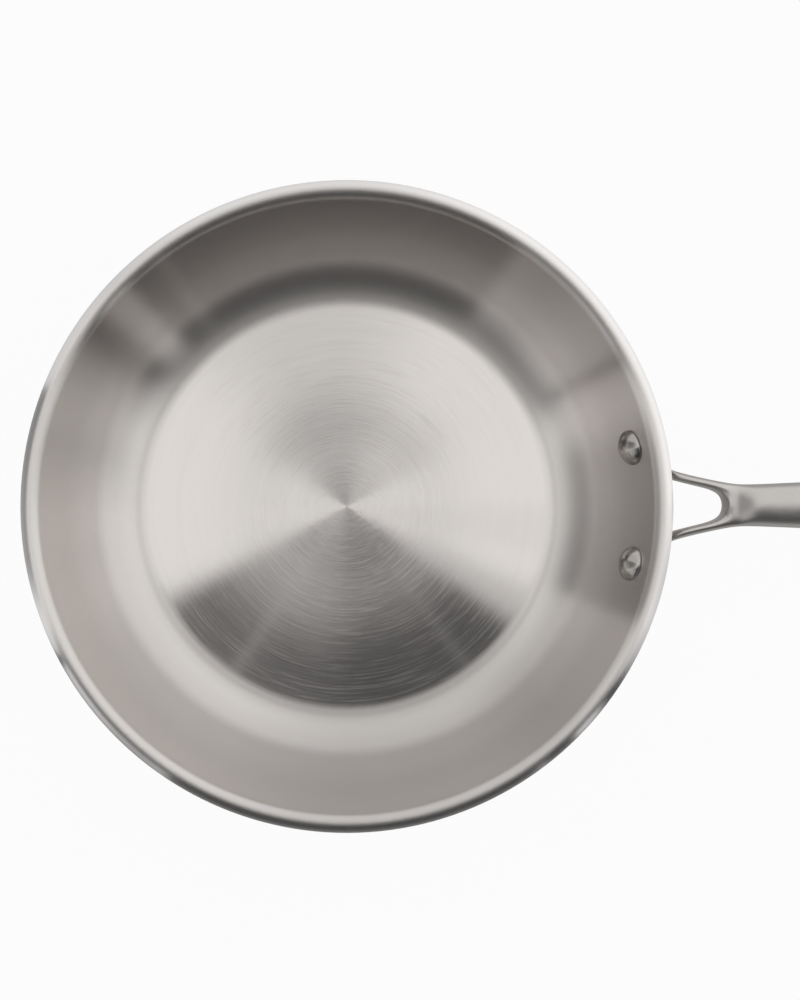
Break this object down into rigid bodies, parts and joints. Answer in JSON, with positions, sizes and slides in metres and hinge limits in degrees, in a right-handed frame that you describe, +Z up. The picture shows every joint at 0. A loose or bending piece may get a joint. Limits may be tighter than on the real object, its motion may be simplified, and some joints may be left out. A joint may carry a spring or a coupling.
{
  "type": "flat-bottomed wok",
  "caption": "Flat-bottomed stainless wok with flared walls, a rolled pouring lip and a riveted forked handle, for frying and tossing food on a hob.",
  "frame": {"origin": "centre of the flat base, on the face that the wok stands on", "axes": "+Z up along the bowl's axis, +X out along the handle, +Y to the left as seen along the handle from the bowl"},
  "size_m": [0.4744, 0.28, 0.0739],
  "materials": {
    "cooking_steel": "stainless, brushed in circles about the centre",
    "core_aluminium": "bare aluminium, seen only at the ground edge of the lip",
    "outer_steel": "magnetic stainless, satin brushed in circles",
    "cast_handle": "cast stainless, satin",
    "rivet_steel": "stainless, polished"
  },
  "bodies": {
    "root": {"cooking_surface_ply": "cooking_steel", "aluminium_core_ply": "core_aluminium", "outer_steel_ply": "outer_steel", "handle": "cast_handle", "rivet_left": "rivet_steel", "rivet_right": "rivet_steel"}
  },
  "joints": []
}
